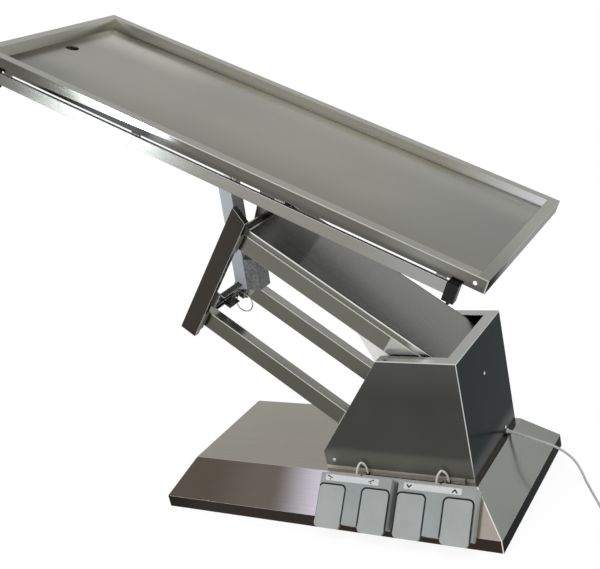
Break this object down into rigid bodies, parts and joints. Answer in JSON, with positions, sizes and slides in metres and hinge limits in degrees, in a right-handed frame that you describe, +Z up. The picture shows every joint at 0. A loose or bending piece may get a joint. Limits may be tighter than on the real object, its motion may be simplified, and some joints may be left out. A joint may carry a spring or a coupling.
{
  "type": "operating table",
  "caption": "Veterinary operating table: tilting drained tray on parallel lift arms, electric actuators, steel base with foot switches.",
  "frame": {"origin": "middle of the base on the floor", "axes": "+X towards the low end of the tray and the column housing, -Y towards the foot switches, +Z up"},
  "size_m": [1.5808, 0.5886, 1.3683],
  "materials": {
    "cover_steel": "satin brushed",
    "tray_steel": "satin brushed",
    "frame_steel": "satin brushed",
    "base_steel": "plain",
    "bright_steel": "bright",
    "actuator_casing": "fine texture",
    "dark_plastic": "matt",
    "black_plastic": "matt",
    "board": "matt",
    "switch_grey": "fine texture",
    "label_sheet": "smooth",
    "lead_sheath": "smooth",
    "rubber": "matt"
  },
  "bodies": {
    "base": {"base_cover": "cover_steel", "base_plate": "base_steel", "base_ribs": "base_steel", "housing_shell": "cover_steel", "pivot_plates": "base_steel", "base_shafts": "bright_steel", "lift_bracket": "base_steel", "lift_bracket_pin": "bright_steel", "control_box": "dark_plastic", "control_board": "board", "housing_screws": "bright_steel", "switch_strip": "cover_steel", "switch_unit_tilt": "switch_grey", "switch_unit_lift": "switch_grey", "switch_labels": "label_sheet", "switch_pins": "bright_steel", "switch_leads": "lead_sheath", "lead_grommets": "rubber", "cord_gland": "black_plastic", "power_cord": "lead_sheath", "cord_coil": "lead_sheath", "power_plug": "black_plastic"},
    "upper_arm": {"upper_arm_near": "frame_steel", "upper_arm_far": "frame_steel", "upper_bushes": "frame_steel", "arm_cover": "cover_steel", "arm_gussets": "frame_steel", "lever_pin": "bright_steel"},
    "lower_arm": {"lower_arm_near": "frame_steel", "lower_arm_far": "frame_steel", "lower_bushes": "frame_steel"},
    "head": {"post_near": "frame_steel", "post_far": "frame_steel", "post_pads": "bright_steel", "head_channel": "frame_steel", "tail_pin": "bright_steel", "ring_clip": "bright_steel", "head_shafts": "bright_steel"},
    "lift_cylinder": {"lift_actuator": "actuator_casing"},
    "lift_piston": {"lift_rod": "bright_steel"},
    "tilt_cylinder": {"tilt_actuator": "actuator_casing"},
    "tilt_piston": {"tilt_rod": "bright_steel"},
    "tray": {"tray_pan": "tray_steel", "drain_spout": "tray_steel", "frame_beam_near": "frame_steel", "frame_beam_far": "frame_steel", "frame_crosses": "frame_steel", "tilt_bracket": "frame_steel", "rod_lugs": "frame_steel", "rod_pin": "bright_steel", "rail_near": "tray_steel", "rail_far": "tray_steel", "rail_tabs": "tray_steel", "rail_screws": "bright_steel", "rail_stops": "black_plastic"},
    "pedal_tilt_left": {"pad_tilt_left": "switch_grey"},
    "pedal_tilt_right": {"pad_tilt_right": "switch_grey"},
    "pedal_lift_down": {"pad_lift_down": "switch_grey"},
    "pedal_lift_up": {"pad_lift_up": "switch_grey"}
  },
  "joints": [
    {"name": "lift", "type": "hinge", "parent": "base", "child": "upper_arm", "pos_m": [0.335, 0, 0.402], "axis": [0, 1, 0], "range_deg": [-20.5, 14.5]},
    {"name": "lower_swing", "type": "hinge", "parent": "base", "child": "lower_arm", "pos_m": [0.16, 0, 0.183], "axis": [0, 1, 0], "range_deg": [-20.6, 14.6]},
    {"name": "head_level", "type": "hinge", "parent": "upper_arm", "child": "head", "pos_m": [-0.15688, 0, 0.77943], "axis": [0, 1, 0], "range_deg": [-14.6, 20.6]},
    {"name": "lift_swing", "type": "hinge", "parent": "base", "child": "lift_cylinder", "pos_m": [0.33, 0, 0.05], "axis": [0, -1, 0], "range_deg": [-0.6, 0.85]},
    {"name": "lift_stroke", "type": "slide", "parent": "lift_cylinder", "child": "lift_piston", "axis": [-0.3518, 0, 0.9361], "range_m": [-0.0468, 0.0332]},
    {"name": "tilt", "type": "hinge", "parent": "head", "child": "tray", "pos_m": [-0.15688, 0, 0.77943], "axis": [0, -1, 0], "range_deg": [-0.7, 42.3]},
    {"name": "tilt_swing", "type": "hinge", "parent": "head", "child": "tilt_cylinder", "pos_m": [-0.24295, 0, 0.57641], "axis": [0, -1, 0], "range_deg": [-0.4, 22.3]},
    {"name": "tilt_stroke", "type": "slide", "parent": "tilt_cylinder", "child": "tilt_piston", "axis": [0.068, 0, 0.9977], "range_m": [-0.0809, 0.0015]},
    {"name": "press_tilt_left", "type": "hinge", "parent": "base", "child": "pedal_tilt_left", "pos_m": [0.0465, -0.21384, 0.10166], "axis": [1, 0, 0], "range_deg": [0, 6], "stiffness_Nm_per_rad": 3, "springref_deg": -5.16},
    {"name": "press_tilt_right", "type": "hinge", "parent": "base", "child": "pedal_tilt_right", "pos_m": [0.173, -0.21384, 0.10166], "axis": [1, 0, 0], "range_deg": [0, 6], "stiffness_Nm_per_rad": 3, "springref_deg": -5.16},
    {"name": "press_lift_down", "type": "hinge", "parent": "base", "child": "pedal_lift_down", "pos_m": [0.2725, -0.21384, 0.10166], "axis": [1, 0, 0], "range_deg": [0, 6], "stiffness_Nm_per_rad": 3, "springref_deg": -5.16},
    {"name": "press_lift_up", "type": "hinge", "parent": "base", "child": "pedal_lift_up", "pos_m": [0.399, -0.21384, 0.10166], "axis": [1, 0, 0], "range_deg": [0, 6], "stiffness_Nm_per_rad": 3, "springref_deg": -5.16}
  ],
  "couplings": [
    {"joint": "lower_swing", "follows": "lift", "ratio": 1},
    {"joint": "head_level", "follows": "lift", "ratio": -1},
    {"joint": "lift_swing", "follows": "lift", "ratio": -0.0406},
    {"joint": "lift_stroke", "follows": "lift", "m_per_rad": 0.13041},
    {"joint": "tilt_swing", "follows": "tilt", "ratio": 0.5236},
    {"joint": "tilt_stroke", "follows": "tilt", "m_per_rad": -0.1094}
  ]
}
